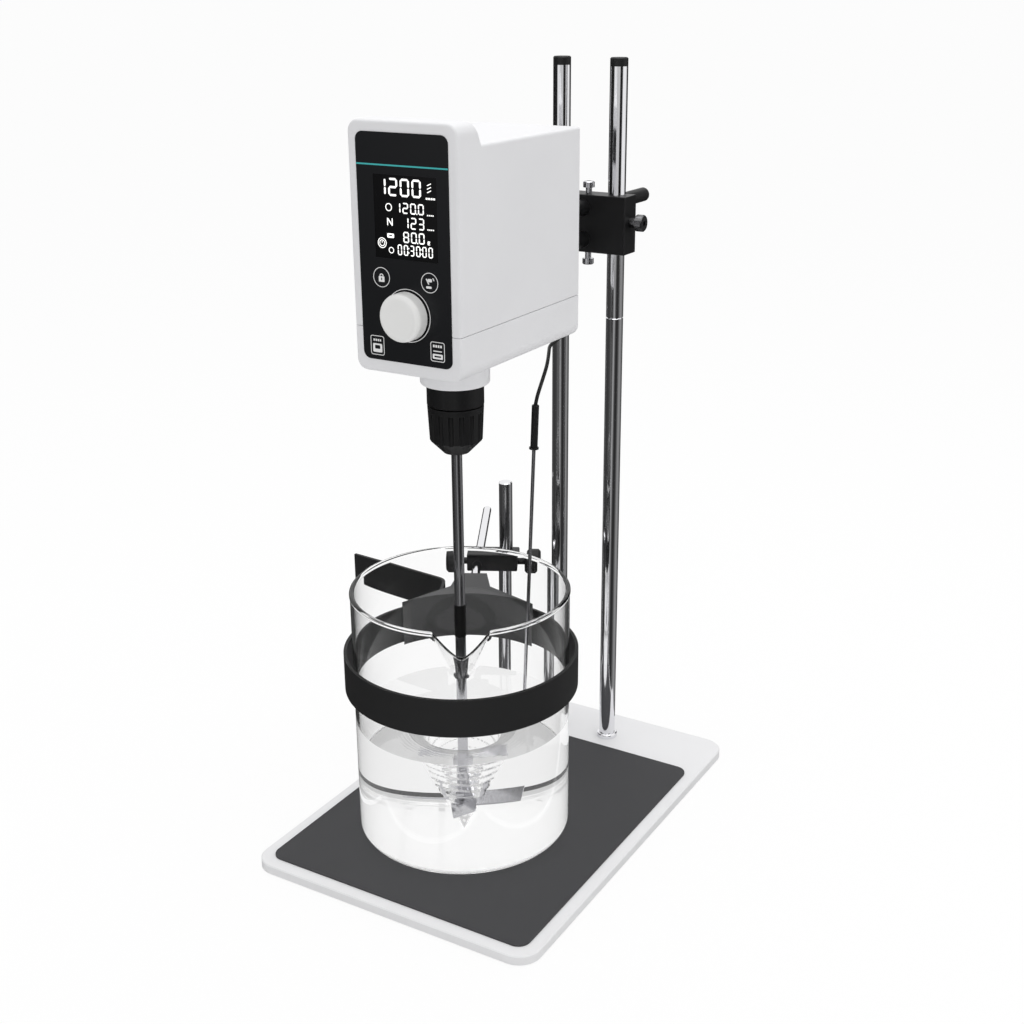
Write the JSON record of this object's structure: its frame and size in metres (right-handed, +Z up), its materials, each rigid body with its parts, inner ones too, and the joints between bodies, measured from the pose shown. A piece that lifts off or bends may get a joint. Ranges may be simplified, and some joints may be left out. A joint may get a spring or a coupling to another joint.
{
  "type": "overhead stirrer",
  "caption": "Overhead stirrer on a two-post stand with keyless chuck, bladed shaft, temperature probe, and a beaker held in a strap clamp.",
  "frame": {"origin": "on the bench, under the middle of the base plate", "axes": "+Z up along the posts, -Y towards the person who reads the display, +X to that person's right"},
  "size_m": [0.3241, 0.4197, 0.5955],
  "materials": {
    "base_paint": "satin",
    "mat_rubber": "matte",
    "underlay_rubber": "matte",
    "post_chrome": "polished",
    "cap_black": "matte",
    "screw_steel": "satin",
    "block_black": "satin",
    "grip_black": "matte",
    "thumb_screw": "satin",
    "housing_white": "satin",
    "fascia_black": "gloss",
    "display_black": "gloss",
    "board_green": "matte",
    "inner_plastic": "matte",
    "knob_white": "satin",
    "rocker_black": "gloss",
    "plate_aluminium": "satin",
    "arm_steel": "polished",
    "motor_steel": "satin",
    "pinion_brass": "satin",
    "chuck_black": "satin",
    "sleeve_black": "matte",
    "jaw_steel": "satin",
    "stirrer_steel": "satin",
    "band_black": "matte",
    "cable_black": "satin",
    "strap_black": "matte",
    "jaw_black": "matte",
    "beaker_glass": "clear"
  },
  "bodies": {
    "base": {"base_plate": "base_paint", "bench_mat": "mat_rubber", "base_underlay": "underlay_rubber", "base_screws": "screw_steel", "lower_posts": "post_chrome", "upper_posts": "post_chrome", "post_caps": "cap_black", "post_foot_nuts": "post_chrome", "short_post": "post_chrome"},
    "carriage": {"clamp_block": "block_black"},
    "upper_arm_screw": {"upper_arm_screw": "screw_steel"},
    "lower_arm_screw": {"lower_arm_screw": "screw_steel"},
    "post_lock_knob": {"post_lock_knob": "grip_black"},
    "side_thumb_screw": {"side_thumb_screw": "thumb_screw"},
    "head": {"upper_housing": "housing_white", "lower_housing": "housing_white", "housing_screws": "screw_steel", "front_fascia": "fascia_black", "display_module": "display_black", "control_board": "board_green", "encoder_body": "inner_plastic", "gear_plate": "plate_aluminium", "plate_standoffs": "screw_steel", "board_spacers": "screw_steel", "power_board": "board_green", "motor_can": "motor_steel", "spindle_bearings": "motor_steel", "spindle_boss": "housing_white", "support_arms": "arm_steel", "arm_bracket": "plate_aluminium", "inlet_module": "inner_plastic", "probe_socket": "inner_plastic", "probe_plug": "grip_black", "probe_cable": "cable_black", "probe_grip": "grip_black", "probe_rod": "stirrer_steel"},
    "push_switch": {"switch_plunger": "inner_plastic"},
    "knob": {"control_knob": "knob_white", "encoder_shaft": "screw_steel"},
    "rocker": {"power_rocker": "rocker_black"},
    "motor": {"motor_rotor": "motor_steel", "motor_pinion": "pinion_brass"},
    "spindle": {"spindle": "motor_steel", "spindle_gear": "motor_steel", "chuck_body": "chuck_black", "stirring_shaft": "stirrer_steel", "shaft_band": "band_black", "impeller": "stirrer_steel"},
    "chuck_sleeve": {"chuck_sleeve": "sleeve_black"},
    "chuck_jaw_1": {"chuck_jaw_1": "jaw_steel"},
    "chuck_jaw_2": {"chuck_jaw_2": "jaw_steel"},
    "chuck_jaw_3": {"chuck_jaw_3": "jaw_steel"},
    "boss": {"boss_head": "block_black"},
    "rod_lock_knob": {"rod_lock_knob": "grip_black"},
    "holder_lock_knob": {"holder_lock_knob": "grip_black"},
    "holder": {"clamp_rod": "post_chrome", "strap_jaw": "jaw_black", "vessel_strap": "strap_black", "strap_tail": "strap_black", "beaker": "beaker_glass"}
  },
  "joints": [
    {"name": "head_height", "type": "slide", "parent": "base", "child": "carriage", "axis": [0, 0, 1], "range_m": [-0.01, 0.095]},
    {"name": "upper_arm_screw_turn", "type": "hinge", "parent": "carriage", "child": "upper_arm_screw", "pos_m": [0, 0.1373, 0.498], "axis": [0, 0, 1], "range_deg": [0, 180]},
    {"name": "lower_arm_screw_turn", "type": "hinge", "parent": "carriage", "child": "lower_arm_screw", "pos_m": [0, 0.1373, 0.438], "axis": [0, 0, -1], "range_deg": [0, 180]},
    {"name": "post_lock_turn", "type": "hinge", "parent": "carriage", "child": "post_lock_knob", "pos_m": [0.025, 0.16, 0.48635], "axis": [0, 1, 0], "range_deg": [0, 360]},
    {"name": "side_screw_turn", "type": "hinge", "parent": "carriage", "child": "side_thumb_screw", "pos_m": [0.045, 0.1373, 0.47105], "axis": [1, 0, 0], "range_deg": [0, 360]},
    {"name": "arm_reach", "type": "slide", "parent": "carriage", "child": "head", "axis": [0, 1, 0], "range_m": [-0.007, 0.007]},
    {"name": "knob_push", "type": "slide", "parent": "head", "child": "push_switch", "axis": [0, 1, 0], "range_m": [0, 0.0006], "stiffness_N_per_m": 1500, "springref_m": -0.0004},
    {"name": "knob_turn", "type": "hinge", "parent": "push_switch", "child": "knob", "pos_m": [0.0016, -0.126, 0.4421], "axis": [0, 1, 0], "continuous": true},
    {"name": "power_switch", "type": "hinge", "parent": "head", "child": "rocker", "pos_m": [0.019, 0.041, 0.52], "axis": [-1, 0, 0], "range_deg": [0, 16]},
    {"name": "spindle_spin", "type": "hinge", "parent": "head", "child": "spindle", "pos_m": [0, -0.06285, 0.4], "axis": [0, 0, 1], "continuous": true},
    {"name": "motor_spin", "type": "hinge", "parent": "head", "child": "motor", "pos_m": [0, -0.02285, 0.49], "axis": [0, 0, 1], "continuous": true},
    {"name": "chuck_sleeve_turn", "type": "hinge", "parent": "spindle", "child": "chuck_sleeve", "pos_m": [0, -0.06285, 0.35], "axis": [0, 0, 1], "range_deg": [0, 720]},
    {"name": "jaw_1_travel", "type": "slide", "parent": "spindle", "child": "chuck_jaw_1", "axis": [0, 0.1736, 0.9848], "range_m": [0, 0.0061]},
    {"name": "jaw_2_travel", "type": "slide", "parent": "spindle", "child": "chuck_jaw_2", "axis": [-0.1504, -0.0868, 0.9848], "range_m": [0, 0.0061]},
    {"name": "jaw_3_travel", "type": "slide", "parent": "spindle", "child": "chuck_jaw_3", "axis": [0.1504, -0.0868, 0.9848], "range_m": [0, 0.0061]},
    {"name": "holder_height", "type": "slide", "parent": "base", "child": "boss", "axis": [0, 0, 1], "range_m": [0, 0.015]},
    {"name": "rod_lock_turn", "type": "hinge", "parent": "boss", "child": "rod_lock_knob", "pos_m": [-0.12037, 0.11583, 0.1575], "axis": [-0.8813, -0.4726, 0], "range_deg": [0, 360]},
    {"name": "holder_lock_turn", "type": "hinge", "parent": "boss", "child": "holder_lock_knob", "pos_m": [-0.05868, 0.14891, 0.1575], "axis": [0.8813, 0.4726, 0], "range_deg": [0, 360]},
    {"name": "holder_reach", "type": "slide", "parent": "boss", "child": "holder", "axis": [-0.4726, 0.8813, 0], "range_m": [-0.007, 0.007]}
  ],
  "couplings": [
    {"joint": "motor_spin", "follows": "spindle_spin", "ratio": -3},
    {"joint": "jaw_1_travel", "follows": "chuck_sleeve_turn", "m_per_rad": 0.00047746},
    {"joint": "jaw_2_travel", "follows": "chuck_sleeve_turn", "m_per_rad": 0.00047746},
    {"joint": "jaw_3_travel", "follows": "chuck_sleeve_turn", "m_per_rad": 0.00047746}
  ]
}
